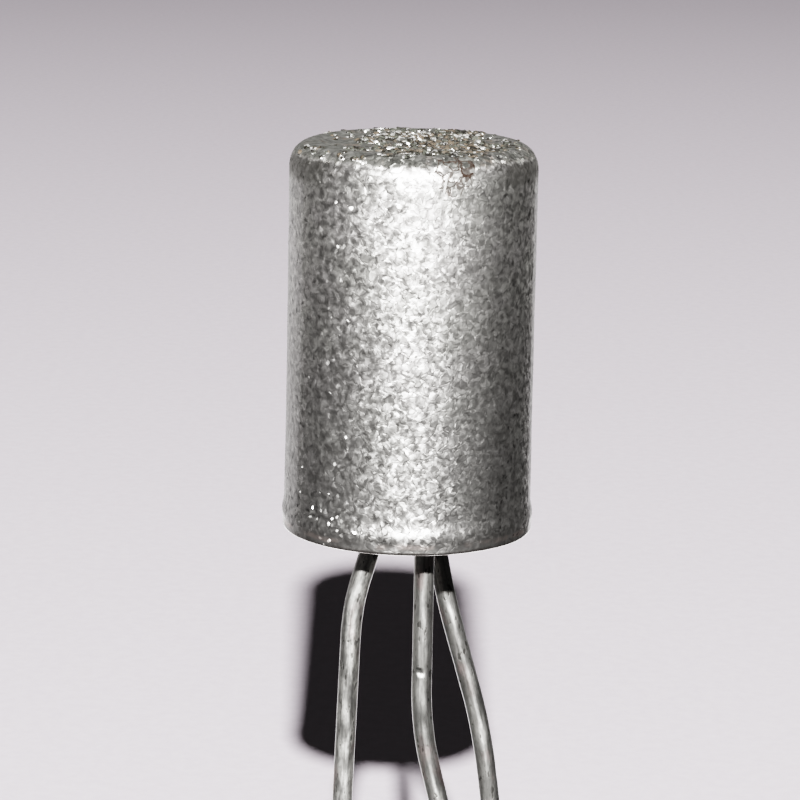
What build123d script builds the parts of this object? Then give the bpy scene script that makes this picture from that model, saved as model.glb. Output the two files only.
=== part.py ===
from build123d import *
import os
from math import radians, tan

# Germanium transistor in a round metal can with three wire leads.
# Sizes are in millimetres and angles in degrees. The origin is the centre of the can's mouth,
# +Z runs up through the can and -Y is the front.

# Can: a drawn cup with its closed end up, its mouth opened a little by the header
can_diameter = 6.0
can_height = 9.5
can_wall = 0.25
top_edge_radius = 0.6
mouth_flare = 0.075
flare_height = 2.0
mouth_outer_break = 0.1
mouth_inner_break = 0.03

# Header: a metal ring with glass fused inside it, pressed and soldered into the mouth
header_recess = 0.25
header_height = 0.8
ring_wall = 0.3
ring_edge_break = 0.05
glass_sag = 0.12
glass_edge_width = 0.35
solder_leg = 0.15

# Leads: round wire, set on a circle in the glass and bent below the can
lead_diameter = 0.5
lead_circle_diameter = 2.4
collector_turn = 59
emitter_from_collector = 169
base_from_emitter = 63.5
lead_length = 14.0
lead_spread = 1.75
exit_bend_depth = 0.15
exit_bend_radius = 1.2
cut_edge_break = 0.05

# Lead routes below the first bend, as (share of the lead length, share of the lead spread)
emitter_route_shares = [(0.131, -0.28), (0.571, -0.40), (1.0, -0.40)]
base_route_shares = [(0.343, 0.0), (0.543, 0.40), (1.0, 0.40)]
collector_route_shares = [(0.157, 0.235), (0.389, 0.775), (0.586, 0.99), (1.0, 0.99)]
# How much of the shorter run beside each of those corners its bend takes up
emitter_bend_shares = [0.45, 0.12]
base_bend_shares = [0.36, 0.3]
collector_bend_shares = [0.4, 0.4, 0.4]

# Posts inside the can, and the crystal that they hold on a pierced tab
post_height = 2.4
post_flat_depth = 0.08
crystal_rise = 1.0
tab_size = 2.0
tab_thickness = 0.15
tab_corner_radius = 0.3
tab_hole_diameter = 1.0
base_solder_width = 0.22
base_solder_thickness = 0.05
wafer_size = 1.7
wafer_thickness = 0.13
emitter_bead_diameter = 0.46
emitter_bead_height = 0.32
collector_bead_diameter = 0.8
collector_bead_height = 0.36
wire_diameter = 0.13
wire_kink = 0.2
wire_bite = 0.1

# Sizes that follow from those above
can_radius = can_diameter / 2
can_bore_radius = can_radius - can_wall
mouth_radius = can_radius + mouth_flare
mouth_bore_radius = can_bore_radius + mouth_flare
header_top = header_recess + header_height
flare_top = header_top + flare_height
glass_radius = mouth_bore_radius - ring_wall
lead_radius = lead_diameter / 2
wire_radius = wire_diameter / 2
tab_hole_radius = tab_hole_diameter / 2
post_top = header_top + post_height
crystal_level = post_top + crystal_rise

# Where the leads stand in the glass
lead_arm = Vector(lead_circle_diameter / 2, 0, 0)
collector_hole = lead_arm.rotate(Axis.Z, collector_turn)
emitter_hole = collector_hole.rotate(Axis.Z, emitter_from_collector)
base_hole = emitter_hole.rotate(Axis.Z, base_from_emitter)

# The upright plane of the tab: it stands on the flat of the base post and faces the collector post
up = Vector(0, 0, 1)
across = (collector_hole - emitter_hole).normalized()
along = up.cross(across)
tab_back = Plane(origin=base_hole + across * (lead_radius - post_flat_depth), x_dir=along, z_dir=across)
tab_front = tab_back.offset(tab_thickness)
wafer_back = tab_front.offset(base_solder_thickness)
wafer_front = wafer_back.offset(wafer_thickness)
crystal_shift = (emitter_hole - base_hole).dot(along)
crystal_step = along * crystal_shift + up * crystal_level

os.makedirs("parts", exist_ok=True)

# Can
with BuildPart() as can:
    with BuildSketch(Plane.XZ):
        with BuildLine():
            Polyline((mouth_bore_radius, 0), (mouth_radius, 0), (mouth_radius, header_top),
                     (can_radius, flare_top), (can_radius, can_height), (0, can_height),
                     (0, can_height - can_wall), (can_bore_radius, can_height - can_wall),
                     (can_bore_radius, flare_top), (mouth_bore_radius, header_top), close=True)
        make_face()
    revolve(axis=Axis.Z)
    outer_end = can.faces().filter_by(GeomType.PLANE).sort_by(Axis.Z)[-1]
    fillet(outer_end.edges(), top_edge_radius)
    inner_end = can.faces().filter_by(GeomType.PLANE).sort_by(Axis.Z)[-2]
    chamfer(inner_end.edges(), top_edge_radius - can_wall)
    chamfer(can.edges().group_by(Axis.Z)[0].sort_by(SortBy.RADIUS)[-1], mouth_outer_break)
    chamfer(can.edges().group_by(Axis.Z)[0].sort_by(SortBy.RADIUS)[0], mouth_inner_break)
can.part.label = "can"
export_step(can.part, "parts/can.step")

# Header ring
with BuildPart() as header_ring:
    with BuildSketch(Plane.XY.offset(header_recess)):
        Circle(mouth_bore_radius)
        Circle(glass_radius, mode=Mode.SUBTRACT)
    extrude(amount=header_height)
    chamfer(header_ring.edges().group_by(Axis.Z)[-1].sort_by(SortBy.RADIUS)[-1], ring_edge_break)
header_ring.part.label = "header_ring"
export_step(header_ring.part, "parts/header_ring.step")

# Glass seal, whose lower face climbs to the ring at its edge
with BuildPart() as glass_seal:
    with BuildSketch(Plane.XZ):
        with BuildLine():
            Polyline((glass_radius, header_recess), (glass_radius, header_top), (0, header_top),
                     (0, header_recess + glass_sag),
                     (glass_radius - glass_edge_width, header_recess + glass_sag), close=True)
        make_face()
    revolve(axis=Axis.Z)
    with BuildSketch(Plane.XY):
        with Locations(emitter_hole, base_hole, collector_hole):
            Circle(lead_radius)
    extrude(amount=header_top, mode=Mode.SUBTRACT)
glass_seal.part.label = "glass_seal"
export_step(glass_seal.part, "parts/glass_seal.step")

# Solder seam, a sloped bead in the corner between the can and the underside of the ring
with BuildPart() as solder_seam:
    with BuildSketch(Plane.XZ):
        with BuildLine():
            Polyline((mouth_bore_radius, header_recess - solder_leg), (mouth_bore_radius, header_recess),
                     (mouth_bore_radius - solder_leg, header_recess), close=True)
        make_face()
    revolve(axis=Axis.Z)
solder_seam.part.label = "solder_seam"
export_step(solder_seam.part, "parts/solder_seam.step")


def bend_radius(before, corner, after, share):
    """Radius of a bend that takes up a share of the shorter run beside its corner."""
    turn = (corner - before).get_angle(after - corner)
    return share * min((corner - before).length, (after - corner).length) / tan(radians(turn) / 2)


def lead_wire(hole, top, route_shares, bend_shares, leaves_bent):
    """Wire of one lead: its post, its way through the glass and its bends down to the cut end."""
    points = [Vector(hole.X, hole.Y, top)]
    radii = []
    if leaves_bent:
        points.append(Vector(hole.X, hole.Y, -exit_bend_depth))
        radii.append(exit_bend_radius)
    for depth_share, side_share in route_shares:
        points.append(Vector(hole.X + side_share * lead_spread, hole.Y, -depth_share * lead_length))
    bends = points[-len(bend_shares) - 2:]
    for before, corner, after, share in zip(bends, bends[1:], bends[2:], bend_shares):
        radii.append(bend_radius(before, corner, after, share))
    with BuildPart() as lead:
        with BuildLine() as route:
            FilletPolyline(*points, radius=radii)
        with BuildSketch(Plane(origin=route.line @ 0, z_dir=route.line % 0)):
            Circle(lead_radius)
        sweep()
        chamfer(lead.edges().sort_by(Axis.Z)[0], cut_edge_break)
    return lead


# Emitter lead
emitter_lead = lead_wire(emitter_hole, post_top, emitter_route_shares, emitter_bend_shares, True)
emitter_lead.part.label = "emitter_lead"
export_step(emitter_lead.part, "parts/emitter_lead.step")

# Base lead, whose taller post has a flat for the tab
base_wire = lead_wire(base_hole, crystal_level, base_route_shares, base_bend_shares, False)
with BuildPart() as base_lead:
    add(base_wire.part)
    with BuildSketch(tab_back):
        with Locations((0, crystal_level)):
            Rectangle(lead_diameter, tab_size)
    extrude(amount=lead_diameter, mode=Mode.SUBTRACT)
base_lead.part.label = "base_lead"
export_step(base_lead.part, "parts/base_lead.step")

# Collector lead
collector_lead = lead_wire(collector_hole, post_top, collector_route_shares, collector_bend_shares, True)
collector_lead.part.label = "collector_lead"
export_step(collector_lead.part, "parts/collector_lead.step")

# Base tab, welded to the flat of the base post and pierced behind the crystal
tab_start = -lead_radius
tab_end = crystal_shift + tab_size / 2
with BuildPart() as base_tab:
    with BuildSketch(tab_back):
        with Locations(((tab_start + tab_end) / 2, crystal_level)):
            RectangleRounded(tab_end - tab_start, tab_size, tab_corner_radius)
        with Locations((crystal_shift, crystal_level)):
            Circle(tab_hole_radius, mode=Mode.SUBTRACT)
    extrude(amount=tab_thickness)
base_tab.part.label = "base_tab"
export_step(base_tab.part, "parts/base_tab.step")

# Base solder, a thin ring round the hole of the tab
with BuildPart() as base_solder:
    with BuildSketch(tab_front):
        with Locations((crystal_shift, crystal_level)):
            Circle(tab_hole_radius + base_solder_width)
            Circle(tab_hole_radius, mode=Mode.SUBTRACT)
    extrude(amount=base_solder_thickness)
base_solder.part.label = "base_solder"
export_step(base_solder.part, "parts/base_solder.step")

# Germanium wafer
with BuildPart() as germanium_wafer:
    with BuildSketch(wafer_back):
        with Locations((crystal_shift, crystal_level)):
            Rectangle(wafer_size, wafer_size)
    extrude(amount=wafer_thickness)
germanium_wafer.part.label = "germanium_wafer"
export_step(germanium_wafer.part, "parts/germanium_wafer.step")


def alloyed_bead(foot, out, diameter, height):
    """Rounded bead on a face of the crystal, with a socket for its wire sunk into the top."""
    radius = diameter / 2
    with BuildPart() as bead:
        with BuildSketch(Plane(origin=foot, x_dir=along, z_dir=along.cross(out))):
            with BuildLine():
                TangentArc((0, height), (radius, 0), tangent=(1, 0))
                Polyline((radius, 0), (0, 0), (0, height))
            make_face()
        revolve(axis=Axis(foot, out))
        with BuildSketch(Plane(origin=foot + out * (height - wire_bite), z_dir=out)):
            Circle(wire_radius)
        extrude(amount=wire_bite, mode=Mode.SUBTRACT)
    return bead


def bead_wire(foot, out, height, hole):
    """Wire from the socket of its bead, level to above its post, then down to the end of the post."""
    corner = Vector(hole.X, hole.Y, crystal_level)
    with BuildPart() as wire:
        with BuildLine() as route:
            Polyline(foot + out * (height - wire_bite), corner - out * wire_kink, corner - up * wire_kink,
                     Vector(hole.X, hole.Y, post_top))
        with BuildSketch(Plane(origin=route.line @ 0, z_dir=route.line % 0)):
            Circle(wire_radius)
        sweep(transition=Transition.RIGHT)
    return wire


# Emitter bead, which stands in the hole of the tab
emitter_foot = wafer_back.origin + crystal_step
emitter_bead = alloyed_bead(emitter_foot, -across, emitter_bead_diameter, emitter_bead_height)
emitter_bead.part.label = "emitter_bead"
export_step(emitter_bead.part, "parts/emitter_bead.step")

# Collector bead, larger, on the open face of the crystal
collector_foot = wafer_front.origin + crystal_step
collector_bead = alloyed_bead(collector_foot, across, collector_bead_diameter, collector_bead_height)
collector_bead.part.label = "collector_bead"
export_step(collector_bead.part, "parts/collector_bead.step")

# Emitter wire
emitter_wire = bead_wire(emitter_foot, -across, emitter_bead_height, emitter_hole)
emitter_wire.part.label = "emitter_wire"
export_step(emitter_wire.part, "parts/emitter_wire.step")

# Collector wire
collector_wire = bead_wire(collector_foot, across, collector_bead_height, collector_hole)
collector_wire.part.label = "collector_wire"
export_step(collector_wire.part, "parts/collector_wire.step")
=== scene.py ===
import math
import random

import bmesh
import bpy
from mathutils import Matrix, Vector


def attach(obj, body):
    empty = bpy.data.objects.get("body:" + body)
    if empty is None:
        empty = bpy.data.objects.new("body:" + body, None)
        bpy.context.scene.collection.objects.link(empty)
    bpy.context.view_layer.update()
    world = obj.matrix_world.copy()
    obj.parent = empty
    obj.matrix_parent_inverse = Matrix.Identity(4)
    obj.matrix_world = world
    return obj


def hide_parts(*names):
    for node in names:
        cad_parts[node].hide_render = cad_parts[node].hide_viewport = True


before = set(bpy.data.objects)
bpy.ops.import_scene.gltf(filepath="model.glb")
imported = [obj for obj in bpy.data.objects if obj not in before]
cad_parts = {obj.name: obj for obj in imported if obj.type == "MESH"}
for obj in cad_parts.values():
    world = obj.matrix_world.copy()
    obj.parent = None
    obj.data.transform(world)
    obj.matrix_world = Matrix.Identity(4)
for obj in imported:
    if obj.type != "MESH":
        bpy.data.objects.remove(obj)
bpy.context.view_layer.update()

# Looks of a small transistor in a round metal can with three wire leads.
# Sizes are written in millimetres and turned to metres where a mesh is made.
MM = 0.001

# Sizes of the can
can_radius = 3.0
can_height = 9.5
can_wall = 0.25
top_corner = 0.6
corner_centre = can_radius - top_corner
crust_room = 0.03
dish_depth = 0.075
dish_edge = 0.4
roof_round = 0.35
roof_middle = 1.2
bore_middle = 6.0
mouth_bore = 2.825
mouth_radius = 3.072
mouth_break = 0.03
header_top = 1.05
lip_round = 0.14
lip_top = 0.24
turned_lip_foot = 0.42
turned_lip_run = 0.36
flare_spread = 0.022
flare_foot = 0.7
flare_run = 2.4
flare_step = 0.08
flare_top = 3.05
wall_foot = 3.2
wall_rows = 56
top_rings = 40
can_steps = 224

# Where the can is uneven
wall_inside = 2.85
wall_foot_edge = 0.02
wall_fade = 0.1
worn_lip_top = 0.45
worn_lip_fade = 0.3
crust_floor = 9.3
crust_floor_fade = 0.05
crust_reach = 2.25
crust_reach_fade = 0.3

# Scratches on the can's front: side and slope of each line, and its lowest and highest place
scratch_lines = (
    (0.770, 0.179, 8.10, 9.02),
    (0.93, 2.9, 3.42, 3.66),
    (0.82, 2.3, 3.20, 3.52),
)
scratch_fade = 0.08

# Crumbs on the can's top
lump_kinds = 5
lump_rise = 1.4
clump_count = 110
clump_reach = 2.5
clump_side = 0.35
clump_width = 1.2
clump_strays = 0.06
clump_spread = 0.25
crumb_count = 900
crumb_reach = 2.6
crumb_gap = 0.003
crumb_size = 0.045
crumb_largest = 0.12
burr_count = 16
burr_turns = (192, 246)
burr_falls = (42, 78)
burr_sizes = (0.045, 0.075)

# Sizes of the leads
wire_radius = 0.25
wire_break = 0.05
wire_sides = 32
ring_step = 0.06
bend_turns = 16
post_top = 3.45
base_post_top = 4.45
bend_start = -0.15
lead_end = -14.0


# Colours

def paint(red, green, blue):
    return (red, green, blue, 1.0)


warm_plate = paint(0.92, 0.905, 0.855)
cool_plate = paint(0.94, 0.905, 0.885)
# Plate colour for the lower can: painted shade, darker towards the bottom where the light falls off
low_shade_plate = paint(0.60, 0.59, 0.57)
# Dark grain colours: the side one is darker, painted shade on the sides of the can
side_grain_shade = paint(0.28, 0.273, 0.262)
front_dark_grain = paint(0.40, 0.39, 0.375)
groove_grey = paint(0.17, 0.16, 0.15)
grey_soil = paint(0.034, 0.035, 0.030)
brown_soil = paint(0.052, 0.036, 0.024)
thin_dust = paint(0.060, 0.061, 0.053)
# Painted shade in the gaps between the crumbs
gap_shade_black = paint(0.012, 0.011, 0.010)
worn_lip = paint(0.40, 0.385, 0.37)
lip_pink = paint(0.80, 0.69, 0.64)
# Grime and painted shade under the lip
lip_grime_shade_brown = paint(0.22, 0.19, 0.175)
seam_grey = paint(0.16, 0.15, 0.135)
# Dull film on the shoulder, darkened as painted shade
film_and_shade_grey = paint(0.150, 0.145, 0.134)
rust_brown = paint(0.022, 0.013, 0.009)
scratch_white = paint(0.97, 0.96, 0.92)
crumb_grey = paint(0.040, 0.041, 0.034)
crumb_brown = paint(0.058, 0.046, 0.034)
crumb_black = paint(0.010, 0.009, 0.007)
crumb_white = paint(0.80, 0.79, 0.76)
crumb_dust = paint(0.020, 0.017, 0.013)
clean_tin = (0.62, 0.61, 0.58)
dull_tin = paint(0.34, 0.335, 0.32)
tin_blush = paint(0.46, 0.34, 0.33)
draw_line_grey = paint(0.13, 0.125, 0.12)
fine_line_grey = paint(0.12, 0.115, 0.11)
pit_black = paint(0.03, 0.027, 0.025)
# Painted shade above the nick in a lead
dent_shade_black = paint(0.03, 0.028, 0.026)
# Bare metal of the nick, brightened as a painted glint
cut_and_glint_white = paint(0.95, 0.94, 0.91)


# Node work

class Signal:
    """A node's output, so that sums on it are written as plain maths."""

    def __init__(self, bench, socket):
        self.bench = bench
        self.socket = socket

    def math(self, operation, first, second):
        return self.bench.add("ShaderNodeMath", {"operation": operation}, {0: first, 1: second})

    def __add__(self, other):
        return self.math("ADD", self, other)

    def __radd__(self, other):
        return self.math("ADD", other, self)

    def __sub__(self, other):
        return self.math("SUBTRACT", self, other)

    def __rsub__(self, other):
        return self.math("SUBTRACT", other, self)

    def __mul__(self, other):
        return self.math("MULTIPLY", self, other)

    def __rmul__(self, other):
        return self.math("MULTIPLY", other, self)

    def __abs__(self):
        return self.math("ABSOLUTE", self, 0.0)


class Bench:
    """A node tree, with the one method that adds any node to it."""

    def __init__(self, tree):
        self.tree = tree
        tree.nodes.clear()

    def add(self, kind, settings=None, sockets=None, output=0):
        node = self.tree.nodes.new(kind)
        for name, value in (settings or {}).items():
            setattr(node, name, value)
        for name, value in (sockets or {}).items():
            if isinstance(value, Signal):
                self.tree.links.new(value.socket, node.inputs[name])
            else:
                node.inputs[name].default_value = value
        if node.outputs:
            return Signal(self, node.outputs[output])

    def place(self):
        """Where a point is on its piece, in millimetres."""
        metres = self.add("ShaderNodeTexCoord", output="Object")
        return self.add("ShaderNodeVectorMath", {"operation": "SCALE"}, {0: metres, "Scale": 1 / MM})

    def wire_place(self):
        """Where a point was on its wire before the wire was bent, in millimetres."""
        return self.add("ShaderNodeAttribute", {"attribute_name": "wire_place"}, output="Vector")

    def split(self, vector):
        return [self.add("ShaderNodeSeparateXYZ", sockets={0: vector}, output=axis) for axis in range(3)]

    def channel(self, colour, name):
        return self.add("ShaderNodeSeparateColor", sockets={0: colour}, output=name)

    def stretch(self, vector, amounts):
        return self.add("ShaderNodeVectorMath", {"operation": "MULTIPLY"}, {0: vector, 1: amounts})

    def shift(self, vector, amounts):
        return self.add("ShaderNodeVectorMath", {"operation": "ADD"}, {0: vector, 1: amounts})

    def noise(self, vector, scale, detail=2.0, roughness=0.5, output=0):
        return self.add("ShaderNodeTexNoise", sockets={
            "Vector": vector, "Scale": scale, "Detail": detail, "Roughness": roughness}, output=output)

    def cells(self, vector, scale, output="Color"):
        return self.add("ShaderNodeTexVoronoi", sockets={"Vector": vector, "Scale": scale}, output=output)

    def ease(self, value, low, high):
        """Climbs smoothly from 0 at the low value to 1 at the high one."""
        return self.add("ShaderNodeMapRange", {"interpolation_type": "SMOOTHSTEP"}, {
            "Value": value, "From Min": low, "From Max": high})

    def band(self, value, start, full, fade, end):
        """Climbs from 0 at the start to 1, stays there, and falls from the fade to 0 at the end."""
        return self.ease(value, start, full) * (1 - self.ease(value, fade, end))

    def mix(self, share, first, second):
        return self.add("ShaderNodeMix", {"data_type": "RGBA"}, {0: share, 6: first, 7: second}, output=2)

    def near(self, place, centre, reach):
        """1 at a spot on the piece, down to 0 at its reach."""
        gap = self.add("ShaderNodeVectorMath", {"operation": "DISTANCE"}, {0: place, 1: centre},
                       output="Value")
        return 1 - self.ease(gap, 0.0, reach)

    def bump(self, height, depth):
        return self.add("ShaderNodeBump", sockets={"Height": height, "Distance": depth * MM, "Strength": 1.0})

    def tilt(self, normal, cell_colour, amount, middle=(0.5, 0.5, 0.5)):
        """Leans each grain of metal its own way."""
        lean = self.add("ShaderNodeVectorMath", {"operation": "SUBTRACT"}, {0: cell_colour, 1: middle})
        lean = self.add("ShaderNodeVectorMath", {"operation": "SCALE"}, {0: lean, "Scale": amount})
        leaned = self.shift(normal, lean)
        return self.add("ShaderNodeVectorMath", {"operation": "NORMALIZE"}, {0: leaned})

    def surface(self, sockets):
        shader = self.add("ShaderNodeBsdfPrincipled", sockets=sockets)
        self.add("ShaderNodeOutputMaterial", sockets={"Surface": shader})


def new_finish(name):
    material = bpy.data.materials.new(name)
    material.use_nodes = True
    return material, Bench(material.node_tree)


# Finishes

def can_metal():
    """Matt plated can: worm-like grain with bright sparks, a dirty top and a worn, rusty lip."""
    material, bench = new_finish("can metal")
    place = bench.place()
    x, y, z = bench.split(place)
    face = 1 - bench.ease(y, -2.6, -2.0)
    lower = 1 - bench.ease(z, 1.0, 8.5)

    # Grain: swells with grooves between them, fine crystals, and flecks of which some flash as sparks
    wander = bench.noise(place, 4.0, output="Color")
    loose = bench.shift(place, bench.stretch(wander, (0.28, 0.28, 0.28)))
    swell = bench.noise(loose, 6.5, detail=1.5, roughness=0.45)
    swell_lean = bench.noise(loose, 6.5, detail=1.0, roughness=0.4, output="Color")
    groove = 1 - bench.ease(abs(bench.noise(loose, 4.2, detail=1.0) - 0.5), 0.0, 0.09)
    cloud = bench.noise(place, 0.9, detail=3.0)
    crystal = bench.cells(loose, 13.0)
    fleck_scale = 7.5
    fleck_colour = bench.cells(loose, fleck_scale)
    fleck_sum = 5 * bench.channel(fleck_colour, "Red") + 7 * bench.channel(fleck_colour, "Green")
    fleck_draw = bench.add("ShaderNodeMath", {"operation": "FRACT"}, {0: fleck_sum})
    fleck_round = 1 - bench.ease(bench.cells(loose, fleck_scale, output="Distance"), 0.18, 0.50)
    near_lip = 1 - bench.ease(z, 0.6, 2.2)
    glint_row = bench.band(z, 0.32, 0.46, 0.75, 1.05) * (1 - bench.ease(x, -1.3, -0.5))
    sparks = fleck_round * bench.ease(fleck_draw + 0.14 * near_lip + 0.40 * glint_row, 0.76, 0.82)

    # The top is dirty down to a ragged line on its rounded edge, with a dull film below that is also painted
    # shade on the shoulder, except in front
    ragged = z + 0.30 * (bench.noise(place, 2.6, detail=4.0, roughness=0.65) - 0.5)
    top = bench.ease(ragged, 9.16, 9.26)
    film_and_shade = bench.ease(ragged, 8.50, 8.80) * bench.ease(y, -2.55, -1.75)
    crumbs = bench.ease(bench.noise(loose, 4.2, detail=2.0), 0.44, 0.54)
    stain = bench.noise(place, 1.6, detail=3.0) + 0.35 * bench.near(place, (0.7, -0.6, 9.40), 2.6)
    stain = bench.ease(stain, 0.52, 0.72)
    # Dark gaps on the top between the crumbs: painted shade
    speckle = bench.noise(loose, 6.0, detail=1.0)
    gap_shade = bench.ease(speckle + 0.25 * (cloud - 0.5), 0.60, 0.70)

    # Flakes with brown seams near the top's edge, and grey seams in patches round the shoulder
    warped = bench.shift(place, bench.stretch(wander, (0.6, 0.6, 0.6)))
    seams = bench.add("ShaderNodeTexVoronoi", {"feature": "DISTANCE_TO_EDGE"},
                      {"Vector": loose, "Scale": 4.0})
    flaked = bench.ease(bench.near(warped, (1.25, -2.40, 9.36), 0.80), 0.15, 0.45)
    rust = flaked * (1 - bench.ease(seams, 0.04, 0.11))
    rust = rust + bench.ease(bench.near(warped, (1.56, -2.36, 9.42), 0.32), 0.25, 0.5)
    shoulder = bench.band(z, 8.75, 8.95, 9.24, 9.34) * bench.ease(cloud, 0.42, 0.56)
    shoulder_seams = shoulder * (1 - bench.ease(seams, 0.03, 0.12))

    # The lip is worn smooth, with pink rust in patches, and grime with painted shade along its lowest edge,
    # under the lip
    lip_edge = z + 0.16 * (bench.noise(place, 1.8, detail=3.0) - 0.5)
    lip_wear = 1 - bench.ease(lip_edge, 0.30, 0.48)
    lip_blush = bench.band(lip_edge, 0.12, 0.19, 0.22, 0.32) * bench.ease(bench.noise(place, 1.3), 0.46, 0.58)
    lip_grime_and_shade = 1 - bench.ease(lip_edge, 0.04, 0.13)
    lip_band = 1 - bench.ease(lip_edge, 0.20, 0.30)

    # Thin scratches on the front, one near the top and two slanting ones low down
    scratches = 0.0
    for side, slope, low, high in scratch_lines:
        line = 1 - bench.ease(abs(x - side - slope * (z - high)), 0.010, 0.034)
        scratches = scratches + line * bench.band(z, low, low + scratch_fade, high - scratch_fade, high)
    scratches = scratches * (1 - bench.ease(y, -2.0, -1.5))

    bright = bench.mix(bench.ease(cloud, 0.35, 0.65), warm_plate, cool_plate)
    # Darker towards the bottom: painted shade where the light falls off down the can
    bright = bench.mix(0.75 * lower, bright, low_shade_plate)
    # Dark grain of the plate, deeper on the sides than in front: painted shade on the sides
    dark_grain_and_side_shade = bench.mix(face, side_grain_shade, front_dark_grain)
    colour = bench.mix(bench.ease(swell, 0.76, 0.24), bright, dark_grain_and_side_shade)
    colour = bench.mix(0.25 * groove, colour, groove_grey)
    soil = bench.mix(stain, grey_soil, brown_soil)
    soil = bench.mix(crumbs, thin_dust, soil)
    soil = bench.mix(0.85 * gap_shade, soil, gap_shade_black)
    colour = bench.mix(0.88 * top, colour, soil)
    colour = bench.mix(0.45 * lip_wear, colour, worn_lip)
    colour = bench.mix(0.55 * lip_blush, colour, lip_pink)
    # Lowest edge of the lip darkened: grime and painted shade under the lip
    colour = bench.mix(0.45 * lip_grime_and_shade, colour, lip_grime_shade_brown)
    colour = bench.mix(0.55 * shoulder_seams, colour, seam_grey)
    # Dull film and painted shade on the shoulder, left off in front where the light falls
    colour = bench.mix(0.75 * film_and_shade * (1 - top), colour, film_and_shade_grey)
    colour = bench.mix(0.90 * rust, colour, rust_brown)
    colour = bench.mix(0.85 * scratches, colour, scratch_white)
    dirt = top * (0.2 + 0.4 * crumbs) + 0.6 * rust
    rough = 0.395 - 0.03 * lower - 0.10 * sparks * (1 - face) + 0.12 * top + 0.08 * film_and_shade

    # Lean of the grain: little on scratches and lip, upwards high on the wall, sparks towards the front
    firm = (1 - scratches) * (1 - 0.6 * lip_band)
    crown = bench.add("ShaderNodeCombineXYZ", sockets={"Z": 0.11 * bench.ease(z, 5.8, 8.4)})
    swell_tilt = (0.62 - 0.14 * face - 0.30 * film_and_shade) * firm
    crystal_tilt = (0.20 + 0.8 * top * bench.ease(x, -1.9, -0.7)) * firm
    calm = 0.92 * (1 - bench.ease(y, -2.80, -2.40)) * (1 - glint_row)
    lively = (1 - 0.75 * bench.ease(x, 0.5, 1.3)) * (1 - 0.6 * bench.ease(y, -0.5, 0.5))
    normal = bench.bump(1 - groove, 0.002)
    normal = bench.tilt(normal, bench.shift(swell_lean, crown), swell_tilt)
    normal = bench.tilt(normal, crystal, crystal_tilt)
    normal = bench.tilt(normal, fleck_colour, 1.2 * sparks * (1 - calm) * lively, (0.50, 0.95, 0.26))
    bench.surface({"Base Color": colour, "Metallic": 1 - 0.6 * dirt, "Roughness": rough, "Normal": normal,
                   "Coat Weight": 0.7 * (1 - top) * (1 - film_and_shade), "Coat Roughness": 0.08, "Coat IOR": 2.0})
    return material


def crumb_crust():
    """Crumbs on the top: white, grey, brown and black ones side by side, and white burrs on the rim."""
    material, bench = new_finish("crumb crust")
    place = bench.place()
    height = bench.split(place)[2]
    draw = bench.cells(place, 8.5)
    grain = bench.noise(place, 14.0, detail=2.0)
    rim = 1 - bench.ease(height, 9.30, 9.36)
    white = bench.channel(draw, "Red") + 0.40 * bench.near(place, (-0.7, 1.4, 9.45), 1.5) + 0.7 * rim
    white = bench.ease(white, 0.86, 0.92)
    brown = bench.channel(draw, "Green") + 0.30 * bench.near(place, (0.6, -0.2, 9.45), 1.9)
    brown = bench.ease(brown, 0.55, 0.75)
    black = bench.ease(bench.channel(draw, "Blue"), 0.50, 0.60)
    colour = bench.mix(brown, crumb_grey, crumb_brown)
    colour = bench.mix(black, colour, crumb_black)
    colour = bench.mix(white, colour, crumb_white)
    colour = bench.mix(0.5 * bench.ease(grain, 0.5, 0.7), colour, crumb_dust)
    bench.surface({"Base Color": colour, "Metallic": 0.9 * white, "Roughness": 0.30 + 0.25 * grain,
                   "Normal": bench.bump(grain, 0.02)})
    return material


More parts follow.
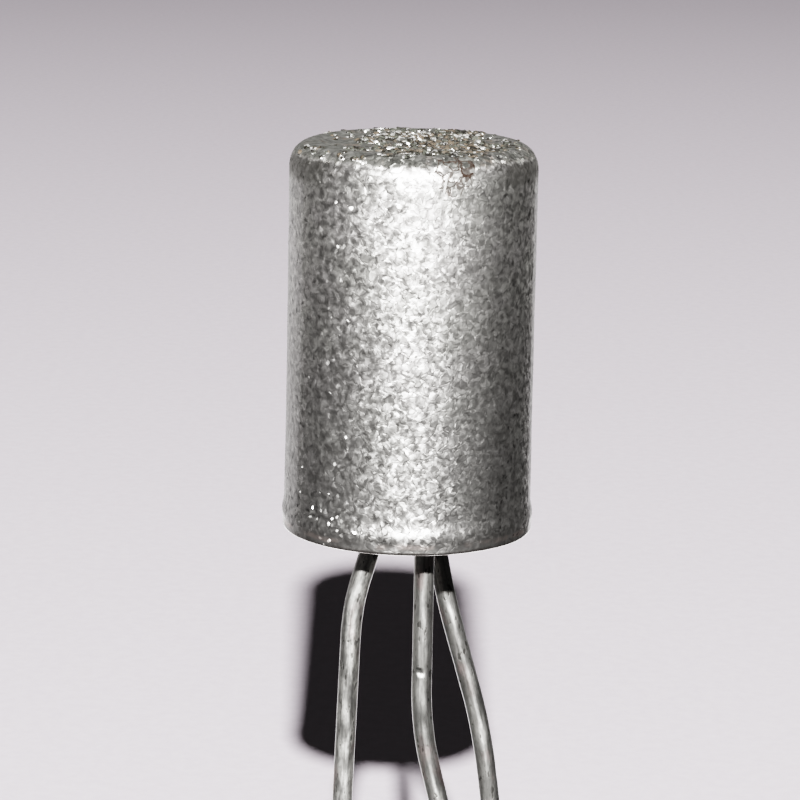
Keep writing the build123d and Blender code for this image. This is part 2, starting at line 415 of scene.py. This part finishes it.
def lead_wire(name, tin_darkening, nick=None):
    """Tinned wire: draw lines along it, dull patches, small dark pits, and a nick where one is given, its
    bare cut brightened as a painted glint with painted shade above it.
    """
    material, bench = new_finish(name)
    place = bench.wire_place()
    lines = bench.noise(bench.stretch(place, (13.0, 13.0, 0.25)), 1.0, detail=2.0)
    patch = bench.noise(bench.stretch(place, (5.0, 5.0, 1.6)), 1.0, detail=3.0, roughness=0.6)
    fine = bench.noise(bench.stretch(place, (18.0, 18.0, 9.0)), 1.0, detail=1.0)
    speckle = bench.noise(bench.stretch(place, (8.0, 8.0, 3.5)), 1.0, detail=2.0)
    pits = bench.ease(speckle + 0.35 * (patch - 0.5), 0.60, 0.68)
    blush = bench.ease(bench.noise(bench.stretch(place, (2.0, 2.0, 0.9)), 1.0), 0.58, 0.72)
    # The same tin is made darker on some leads than others, to match how bright each lead looks
    light_tin = paint(*(level * (1 - tin_darkening) for level in clean_tin))
    colour = bench.mix(bench.ease(patch, 0.38, 0.58), dull_tin, light_tin)
    colour = bench.mix(0.40 * blush, colour, tin_blush)
    colour = bench.mix(0.42 * bench.ease(lines, 0.54, 0.62), colour, draw_line_grey)
    colour = bench.mix(0.30 * bench.ease(fine, 0.5, 0.65), colour, fine_line_grey)
    colour = bench.mix(0.8 * pits, colour, pit_black)
    rough = 0.40 + 0.08 * bench.ease(patch, 0.3, 0.7) + 0.10 * pits
    if nick:
        # The nick: bare metal brightened as a painted glint, with a painted dark line of shade above it
        thin = Vector((1, 1, 1.9))
        dent_shade_spot = nick + Vector((-0.03, 0, 0.09))
        squeezed = bench.stretch(bench.place(), thin)
        cut_and_glint = bench.ease(bench.near(squeezed, nick * thin, 0.10), 0.3, 0.6)
        dent_shade = bench.ease(bench.near(squeezed, dent_shade_spot * thin, 0.12), 0.2, 0.5)
        colour = bench.mix(0.55 * dent_shade, colour, dent_shade_black)
        colour = bench.mix(cut_and_glint, colour, cut_and_glint_white)
        rough = rough - 0.15 * cut_and_glint
    wobble = bench.noise(bench.stretch(place, (7.0, 7.0, 1.3)), 1.0, detail=2.0, output="Color")
    normal = bench.bump(lines + 0.25 * fine - 0.5 * pits, 0.006)
    normal = bench.tilt(normal, wobble, 0.56)
    bench.surface({"Base Color": colour, "Metallic": 1.0, "Roughness": rough, "Normal": normal,
                   "Coat Weight": 0.5, "Coat Roughness": 0.1})
    return material


def plain_metal(name, dark, light, smoothest, roughest, scale):
    """Clouded bare metal for the header and the parts that it holds."""
    material, bench = new_finish(name)
    place = bench.place()
    cloud = bench.noise(place, scale, detail=4.0, roughness=0.6)
    grain = bench.noise(place, scale * 6.0, detail=2.0)
    share = bench.ease(cloud + 0.3 * (grain - 0.5), 0.3, 0.7)
    colour = bench.mix(share, dark, light)
    rough = smoothest + (roughest - smoothest) * share
    bench.surface({"Base Color": colour, "Metallic": 1.0, "Roughness": rough,
                   "Normal": bench.bump(grain, 0.006)})
    return material


def seal_glass():
    """Dark fused glass with faint swirls."""
    material, bench = new_finish("seal glass")
    place = bench.place()
    swirl = bench.noise(place, 1.6, detail=4.0)
    colour = bench.mix(bench.ease(swirl, 0.35, 0.65), paint(0.012, 0.020, 0.018), paint(0.030, 0.042, 0.036))
    rough = 0.10 + 0.12 * swirl
    bench.surface({"Base Color": colour, "Roughness": rough, "IOR": 1.52,
                   "Normal": bench.bump(swirl, 0.03)})
    return material


def floor_paper():
    """Pale card with a faint fibre."""
    material, bench = new_finish("floor paper")
    place = bench.place()
    fibre = bench.noise(place, 2.0, detail=5.0, roughness=0.7)
    colour = bench.mix(bench.ease(fibre, 0.3, 0.7), paint(0.413, 0.373, 0.408), paint(0.445, 0.405, 0.440))
    bench.surface({"Base Color": colour, "Roughness": 0.9, "Specular IOR Level": 0.1})
    return material


# Shaping

def start_fresh():
    if bpy.context.object and bpy.context.object.mode != "OBJECT":
        bpy.ops.object.mode_set(mode="OBJECT")
    bpy.ops.object.select_all(action="DESELECT")


def name_piece(name):
    piece = bpy.context.object
    piece.name = name
    piece.data.name = name
    return piece


def pick(piece, test):
    """Selects the points of the piece in edit mode whose place, in millimetres, passes the test."""
    bpy.ops.mesh.select_all(action="DESELECT")
    form = bmesh.from_edit_mesh(piece.data)
    for point in form.verts:
        point.select_set(test(point.co / MM))
    form.select_flush(True)
    bmesh.update_edit_mesh(piece.data)


def turn_on_lathe(name, outline, steps):
    """Draws an outline of (radius, height) points edge by edge, then spins it round the upright axis."""
    start_fresh()
    bpy.ops.mesh.primitive_plane_add(size=MM)
    piece = name_piece(name)
    bpy.ops.object.mode_set(mode="EDIT")
    bpy.ops.mesh.select_all(action="SELECT")
    bpy.ops.mesh.merge(type="CENTER")
    bpy.ops.transform.translate(value=(outline[0][0] * MM, 0, outline[0][1] * MM))
    for before, after in zip(outline, outline[1:]):
        step = ((after[0] - before[0]) * MM, 0, (after[1] - before[1]) * MM)
        bpy.ops.mesh.extrude_region_move(TRANSFORM_OT_translate={"value": step})
    bpy.ops.mesh.select_all(action="SELECT")
    bpy.ops.mesh.spin(steps=steps, angle=math.tau, center=(0, 0, 0), axis=(0, 0, 1))
    bpy.ops.mesh.select_all(action="SELECT")
    bpy.ops.mesh.remove_doubles(threshold=0.001 * MM)
    bpy.ops.mesh.normals_make_consistent(inside=False)
    bpy.ops.object.mode_set(mode="OBJECT")
    return piece


def apply_modifier(piece, kind, settings):
    modifier = piece.modifiers.new(kind.lower(), kind)
    for name, value in settings.items():
        setattr(modifier, name, value)
    bpy.ops.object.modifier_apply(modifier=modifier.name)


def roughen(piece, group_name, weight, scale, depth, level=1.0):
    """Moves the surface unevenly where the weight of a place, in millimetres, is above zero."""
    group = piece.vertex_groups.new(name=group_name)
    for point in piece.data.vertices:
        amount = weight(point.co / MM)
        if amount > 0:
            group.add([point.index], amount, "REPLACE")
    unevenness = bpy.data.textures.new(group_name, "CLOUDS")
    unevenness.noise_scale = scale * MM
    apply_modifier(piece, "DISPLACE", {
        "texture": unevenness, "texture_coords": "LOCAL", "strength": depth * MM,
        "mid_level": level, "vertex_group": group_name})
    piece.vertex_groups.remove(piece.vertex_groups[group_name])


def finish_piece(piece, material, node):
    bpy.ops.object.shade_smooth_by_angle(angle=math.radians(45))
    piece.data.materials.clear()
    piece.data.materials.append(material)
    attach(piece, "root")
    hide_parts(node)


def ramp(value):
    """Climbs smoothly from 0 at 0 to 1 at 1, and stays level outside that."""
    value = min(max(value, 0.0), 1.0)
    return value * value * (3 - 2 * value)


# Can

def flare_radius(height):
    """Outer radius of the wall where the header opens it out, ending in a small turned lip."""
    spread = flare_spread * (1 - ramp((height - flare_foot) / flare_run))
    lip_reach = mouth_radius - can_radius - flare_spread
    lip = lip_reach * (1 - ramp((height - turned_lip_foot) / turned_lip_run))
    return can_radius + spread + lip


def top_height(away):
    """Height of the top at a distance from its middle: slightly dished, then round at its edge."""
    dish = dish_depth * ramp((corner_centre - away) / dish_edge)
    fall = top_corner - math.sqrt(top_corner ** 2 - max(away - corner_centre, 0) ** 2)
    return can_height - crust_room - dish - fall


def arc(middle, height, radius, turns):
    """Points on a round of the outline, at the given turns in degrees."""
    angles = [math.radians(turn) for turn in turns]
    return [(middle + radius * math.cos(angle), height + radius * math.sin(angle)) for angle in angles]


def can_outline():
    """Half a section of the can: down the bore from the roof, round the lip, up the wall and over the top."""
    roof = can_height - can_wall
    bore = can_radius - can_wall
    points = [(0.0, roof), (roof_middle, roof), (bore - roof_round, roof), (bore, roof - roof_round),
              (bore, bore_middle), (bore, flare_top), (mouth_bore, header_top), (mouth_bore, mouth_break),
              (mouth_bore + mouth_break, 0.0)]
    points += arc(mouth_radius - lip_round, lip_round, lip_round, range(-90, 1, 15))
    height = lip_top
    while height < wall_foot:
        points.append((flare_radius(height), height))
        height += flare_step
    shoulder = can_height - crust_room - top_corner
    for row in range(wall_rows + 1):
        points.append((can_radius, wall_foot + (shoulder - wall_foot) * row / wall_rows))
    points += arc(corner_centre, shoulder, top_corner, range(5, 91, 5))
    for ring in range(1, top_rings + 1):
        away = corner_centre * (1 - ring / top_rings)
        points.append((away, top_height(away)))
    return points


def wall_weight(point):
    """1 on the outside of the can, down to 0 in the bore and under the lip."""
    return ramp((point.xy.length - wall_inside) / wall_fade) * ramp((point.z - wall_foot_edge) / wall_fade)


def lip_weight(point):
    """1 low on the outside of the can, down to 0 above the lip."""
    return wall_weight(point) * ramp((worn_lip_top - point.z) / worn_lip_fade)


def top_weight(point):
    """1 on the flat of the top, down to 0 at its rounded edge and inside the can."""
    height_share = ramp((point.z - crust_floor) / crust_floor_fade)
    return height_share * ramp((crust_reach - point.xy.length) / crust_reach_fade)


def make_can(material):
    can = turn_on_lathe("can", can_outline(), can_steps)
    roughen(can, "dents", wall_weight, scale=1.7, depth=0.025)
    roughen(can, "worn lip", lip_weight, scale=0.4, depth=0.04)
    roughen(can, "crumb patches", top_weight, scale=0.7, depth=0.03, level=0.2)
    roughen(can, "crumbs", top_weight, scale=0.11, depth=0.05, level=0.35)
    finish_piece(can, material, "can")


# Crumbs on the top

def make_lumps():
    """A few odd lumps, from which the crumbs are copied."""
    lumps = []
    for seed in range(lump_kinds):
        start_fresh()
        bpy.ops.mesh.primitive_ico_sphere_add(subdivisions=2, radius=MM)
        lump = name_piece("lump")
        bpy.ops.object.mode_set(mode="EDIT")
        bpy.ops.mesh.select_all(action="SELECT")
        bpy.ops.transform.vertex_random(offset=0.34 * MM, uniform=0.0, normal=0.6, seed=seed)
        bpy.ops.mesh.normals_make_consistent(inside=False)
        bpy.ops.object.mode_set(mode="OBJECT")
        lumps.append(lump)
    return lumps


def draw_clumps(luck):
    """Places where crumbs gather: nearly all in a broad stripe from front to back, right of the middle."""
    clumps = []
    while len(clumps) < clump_count:
        away = clump_reach * math.sqrt(luck.random())
        turn = luck.uniform(0, math.tau)
        clump = Vector((away * math.cos(turn), away * math.sin(turn), 0))
        share = math.exp(-((clump.x - clump_side) / clump_width) ** 2)
        if luck.random() < clump_strays + (1 - clump_strays) * share:
            clumps.append(clump)
    return clumps


def copy_lump(luck, lumps, spot, size, tall, widths):
    """One of the lumps on a spot of the top, turned and widened by chance, no higher than the can."""
    lump = luck.choice(lumps)
    crumb = lump.copy()
    crumb.data = lump.data.copy()
    bpy.context.scene.collection.objects.link(crumb)
    crumb.location = spot * MM
    crumb.rotation_euler = (0, 0, luck.uniform(0, math.tau))
    room = (can_height - crumb_gap - spot.z) / lump_rise
    crumb.scale = (size * luck.uniform(*widths), size, min(tall, room))
    return crumb


def make_crumbs(material):
    """Crumbs in many sizes on the top, and a few burrs on the left of its rim, joined as one piece."""
    lumps = make_lumps()
    luck = random.Random(11)
    clumps = draw_clumps(luck)
    crumbs = []
    while len(crumbs) < crumb_count:
        clump = luck.choice(clumps)
        spot = clump + Vector((luck.gauss(0, clump_spread), luck.gauss(0, clump_spread), 0))
        away = spot.length
        if away > crumb_reach:
            continue
        spot.z = top_height(away)
        size = min(crumb_size * math.exp(luck.gauss(0.3, 0.45)), crumb_largest)
        tall = size * luck.uniform(0.6, 1.1)
        crumbs.append(copy_lump(luck, lumps, spot, size, tall, (0.8, 1.5)))
    for _ in range(burr_count):
        turn = math.radians(luck.uniform(*burr_turns))
        fall = math.radians(luck.uniform(*burr_falls))
        away = corner_centre + top_corner * math.cos(fall)
        size = luck.uniform(*burr_sizes)
        spot = Vector((away * math.cos(turn), away * math.sin(turn), top_height(away)))
        crumbs.append(copy_lump(luck, lumps, spot, size, size, (0.9, 1.6)))
    start_fresh()
    for lump in lumps:
        lump.select_set(True)
    bpy.ops.object.delete()
    for crumb in crumbs:
        crumb.select_set(True)
    bpy.context.view_layer.objects.active = crumbs[0]
    bpy.ops.object.join()
    bpy.ops.object.transform_apply(location=True, rotation=True, scale=True)
    crust = name_piece("top_crumbs")
    bpy.ops.object.shade_smooth_by_angle(angle=math.radians(30))
    crust.data.materials.append(material)
    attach(crust, "root")


# Leads: the place of each one's hole, and its corners as side, height and the run that a bend takes up

emitter_hole = (-0.80296, -0.89177)
base_hole = (0.43980, -1.11650)
collector_hole = (0.61805, 1.02860)
base_nick = Vector((0.38, -1.36, -3.34))
nick_half_width = 0.07
nick_half_height = 0.05
nick_room = 0.08
nick_push = Vector((0, 0.04, -0.01))
flat_foot = 3.45
flat_way = Vector((0.5948, 0.8038, 0))
base_flat = (Vector((*base_hole, 4.0)) + flat_way * 0.17, flat_way)
emitter_corners = [
    (emitter_hole[0], post_top, 0),
    (emitter_hole[0], bend_start, 0.171),
    (-1.29296, -1.834, 0.789),
    (-1.50296, -7.994, 0.721),
    (-1.50296, lead_end, 0),
]
base_corners = [
    (base_hole[0], base_post_top, 0),
    (base_hole[0], -4.802, 1.039),
    (1.13980, -7.602, 0.866),
    (1.13980, lead_end, 0),
]
collector_corners = [
    (collector_hole[0], post_top, 0),
    (collector_hole[0], bend_start, 0.119),
    (1.02930, -2.198, 0.836),
    (1.97430, -5.446, 1.113),
    (2.35055, -8.204, 1.113),
    (2.35055, lead_end, 0),
]


def bent_route(corners, depth):
    """Points down a lead's centre line: straight runs, joined by round bends."""
    spots = [Vector((side, depth, height)) for side, height, reach in corners]
    reaches = [reach for side, height, reach in corners]
    route = [spots[0]]
    for before, corner, after, reach in zip(spots, spots[1:], spots[2:], reaches[1:]):
        back = (before - corner).normalized()
        on = (after - corner).normalized()
        half_turn = (math.pi - back.angle(on)) / 2
        radius = reach / math.tan(half_turn)
        centre = corner + (back + on).normalized() * (radius / math.cos(half_turn))
        start = corner + back * reach - centre
        end = corner + on * reach - centre
        for turn in range(bend_turns + 1):
            route.append(centre + start.slerp(end, turn / bend_turns) * radius)
    route.append(spots[-1])
    return route


def draw_wire(name, length, pattern_shift):
    """A straight wire with a broken far edge, whose points keep their place on it for the finish."""
    start_fresh()
    bpy.ops.mesh.primitive_circle_add(vertices=wire_sides, radius=wire_radius * MM)
    wire = name_piece(name)
    bpy.ops.object.mode_set(mode="EDIT")
    rings = round(length / ring_step)
    bpy.ops.mesh.extrude_repeat(steps=rings, offset=(0, 0, (length - wire_break) * MM / rings))
    share = 1 - wire_break / wire_radius
    for end, way in ((0.0, 0.0), (length - wire_break, wire_break)):
        pick(wire, lambda point: abs(point.z - end) < 0.01)
        bpy.ops.mesh.extrude_region_move(TRANSFORM_OT_translate={"value": (0, 0, way * MM)})
        bpy.ops.transform.resize(value=(share, share, 1))
        bpy.ops.mesh.edge_face_add()
    bpy.ops.mesh.select_all(action="SELECT")
    bpy.ops.mesh.normals_make_consistent(inside=False)
    bpy.ops.object.mode_set(mode="OBJECT")
    mark = wire.data.attributes.new("wire_place", "FLOAT_VECTOR", "POINT")
    for point in wire.data.vertices:
        mark.data[point.index].vector = point.co / MM + Vector((0, 0, pattern_shift))
    return wire


def bend_wire(wire, route):
    guide_curve = bpy.data.curves.new("guide", "CURVE")
    guide_curve.dimensions = "3D"
    guide_curve.twist_mode = "MINIMUM"
    line = guide_curve.splines.new("POLY")
    line.points.add(len(route) - 1)
    for point, spot in zip(line.points, route):
        point.co = (*(spot * MM), 1.0)
    guide = bpy.data.objects.new("guide", guide_curve)
    bpy.context.scene.collection.objects.link(guide)
    apply_modifier(wire, "CURVE", {"object": guide, "deform_axis": "POS_Z"})
    bpy.data.objects.remove(guide)


def press_flat(lead, flat):
    """Squeezes one side of a lead's top end level, where the tab is soldered on."""
    spot, across = flat
    bpy.ops.object.mode_set(mode="EDIT")
    pick(lead, lambda point: point.z > flat_foot and (point - spot).dot(across) > 0)
    along = Vector((-across.y, across.x, 0))
    bpy.ops.transform.resize(value=(0, 1, 1), orient_type="GLOBAL", orient_matrix_type="GLOBAL",
                             orient_matrix=(across, along, (0, 0, 1)), constraint_axis=(True, False, False),
                             center_override=spot * MM)
    bpy.ops.object.mode_set(mode="OBJECT")


def press_nick(lead, nick):
    """Pushes in a few points of a lead's front side."""
    def in_nick(point):
        level_with = abs(point.z - nick.z) < nick_half_height
        return level_with and abs(point.x - nick.x) < nick_half_width and point.y < nick.y + nick_room

    bpy.ops.object.mode_set(mode="EDIT")
    pick(lead, in_nick)
    bpy.ops.transform.translate(value=nick_push * MM)
    bpy.ops.object.mode_set(mode="OBJECT")


def make_lead(name, corners, hole, pattern_shift, material, flat=None, nick=None):
    route = bent_route(corners, hole[1])
    length = sum((after - before).length for before, after in zip(route, route[1:]))
    lead = draw_wire(name, length, pattern_shift)
    bend_wire(lead, route)
    roughen(lead, "lumps", lambda point: ramp((point.z - lead_end) / 0.2), scale=0.5, depth=0.012)
    if flat:
        press_flat(lead, flat)
    if nick:
        press_nick(lead, nick)
    finish_piece(lead, material, name)


make_can(can_metal())
make_crumbs(crumb_crust())
make_lead("emitter_lead", emitter_corners, emitter_hole, 0.0, lead_wire("emitter lead wire", tin_darkening=0.04))
make_lead("base_lead", base_corners, base_hole, 30.0,
          lead_wire("base lead wire", tin_darkening=0.42, nick=base_nick), flat=base_flat, nick=base_nick)
make_lead("collector_lead", collector_corners, collector_hole, 60.0,
          lead_wire("collector lead wire", tin_darkening=0.44))

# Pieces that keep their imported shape
indium = {"dark": paint(0.58, 0.58, 0.60), "light": paint(0.74, 0.74, 0.76),
          "smoothest": 0.3, "roughest": 0.5, "scale": 5.0}
fine_wire = {"dark": paint(0.50, 0.48, 0.44), "light": paint(0.64, 0.62, 0.58),
             "smoothest": 0.25, "roughest": 0.4, "scale": 6.0}
node_finishes = {
    "header_ring": plain_metal("header metal", paint(0.30, 0.29, 0.27), paint(0.52, 0.51, 0.48),
                               smoothest=0.28, roughest=0.5, scale=2.0),
    "glass_seal": seal_glass(),
    "solder_seam": plain_metal("solder", paint(0.34, 0.34, 0.35), paint(0.56, 0.56, 0.57),
                               smoothest=0.3, roughest=0.5, scale=3.0),
    "base_tab": plain_metal("tab nickel", paint(0.46, 0.43, 0.38), paint(0.60, 0.57, 0.51),
                            smoothest=0.25, roughest=0.42, scale=1.5),
    "base_solder": plain_metal("tab solder", paint(0.36, 0.36, 0.37), paint(0.58, 0.58, 0.60),
                               smoothest=0.3, roughest=0.5, scale=4.0),
    "germanium_wafer": plain_metal("germanium", paint(0.20, 0.21, 0.22), paint(0.32, 0.33, 0.34),
                                   smoothest=0.2, roughest=0.5, scale=3.0),
    "emitter_bead": plain_metal("emitter indium", **indium),
    "collector_bead": plain_metal("collector indium", **indium),
    "emitter_wire": plain_metal("emitter fine wire", **fine_wire),
    "collector_wire": plain_metal("collector fine wire", **fine_wire),
}
for node, material in node_finishes.items():
    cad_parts[node].data.materials.clear()
    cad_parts[node].data.materials.append(material)

# Studio: a pale floor that runs up into a round wall
studio_outline = [(0, lead_end), (300, lead_end), (600, lead_end), (750, lead_end + 30),
                  (860, lead_end + 100), (950, lead_end + 300), (960, 900)]
studio = turn_on_lathe("studio", studio_outline, 96)
bpy.ops.object.mode_set(mode="EDIT")
bpy.ops.mesh.select_all(action="SELECT")
bpy.ops.mesh.flip_normals()
bpy.ops.object.mode_set(mode="OBJECT")
bpy.ops.object.shade_smooth()
studio.data.materials.append(floor_paper())
studio.visible_glossy = False
studio.visible_diffuse = False
studio.visible_shadow = False

# Soft surroundings: dim in front, paler to the left, above and behind, and bright low down at the back
world = bpy.data.worlds.new("studio air")
bpy.context.scene.world = world
world.use_nodes = True
world.cycles_visibility.diffuse = False
air = Bench(world.node_tree)
way = air.add("ShaderNodeTexCoord", output="Generated")
way_x, way_y, way_z = air.split(way)
front = air.ease(0.0 - way_y, 0.2, 1.0)
behind = air.ease(way_y - 0.267 * way_x, 0.72, 0.80) * (1 - 0.75 * air.ease(way_z, -0.1, 0.12))
above = air.ease(way_z, 0.3, 1.0)
low_back = (1 - air.ease(abs(way_x), 0.20, 0.50)) * air.ease(way_y, 0.3, 0.6)
low_back = low_back * (1 - air.ease(way_z, -0.34, -0.22))
level = 0.059 - 0.026 * way_x - 0.02 * front + 0.46 * behind + 4.2 * low_back + 0.08 * above
backdrop = air.add("ShaderNodeBackground", sockets={"Color": paint(1.0, 0.97, 0.98), "Strength": level})
air.add("ShaderNodeOutputWorld", sockets={"Surface": backdrop})

# Key light, high in front
key_distance = 0.45
key_turn = math.radians(1)
key_rise = math.radians(28)
key_way = Vector((math.sin(key_turn) * math.cos(key_rise), -math.cos(key_turn) * math.cos(key_rise),
                  math.sin(key_rise)))
start_fresh()
bpy.ops.object.light_add(type="AREA", location=key_way * key_distance)
key = bpy.context.object
key.name = "key"
key.data.shape = "DISK"
key.data.size = 0.013
key.data.energy = 13.5
key.rotation_euler = key_way.to_track_quat("Z", "Y").to_euler()

# Weak fill from straight above, so that the shadow on the floor isn't black
bpy.ops.object.light_add(type="AREA", location=(0, 0, 1.0))
fill = bpy.context.object
fill.name = "fill"
fill.data.size = 1.0
fill.data.energy = 0.7
fill.visible_glossy = False

# Camera, at the photograph's place: a long lens a little above the can, rolled a touch to one side
frame_pixels = 800
focal_pixels = 3304.1
sensor_width = 36.0
look_column = 410.634
look_row = 334.169
look_at = Vector((0, 0, 4.77))
eye_distance = 80.0
eye_rise = math.radians(10.913)
eye_roll = math.radians(1.139)
eye = look_at + eye_distance * Vector((0, -math.cos(eye_rise), math.sin(eye_rise)))
forward = (look_at - eye).normalized()
level_right = Vector((1, 0, 0))
level_up = level_right.cross(forward)
right = math.cos(eye_roll) * level_right + math.sin(eye_roll) * level_up
up = math.cos(eye_roll) * level_up - math.sin(eye_roll) * level_right
aim_right = (frame_pixels / 2 - look_column) / focal_pixels
aim_up = (look_row - frame_pixels / 2) / focal_pixels
aim = (forward + right * aim_right + up * aim_up).normalized()
right = (right - aim * right.dot(aim)).normalized()
up = right.cross(aim)
bpy.ops.object.camera_add()
camera = bpy.context.object
camera.matrix_world = Matrix.Translation(eye * MM) @ Matrix((right, up, -aim)).transposed().to_4x4()
camera.data.sensor_width = sensor_width
camera.data.lens = focal_pixels * sensor_width / frame_pixels
camera.data.clip_start = 0.001
camera.data.clip_end = 5.0
bpy.context.scene.camera = camera
bpy.context.scene.view_settings.view_transform = "Filmic"
bpy.context.scene.view_settings.look = "High Contrast"
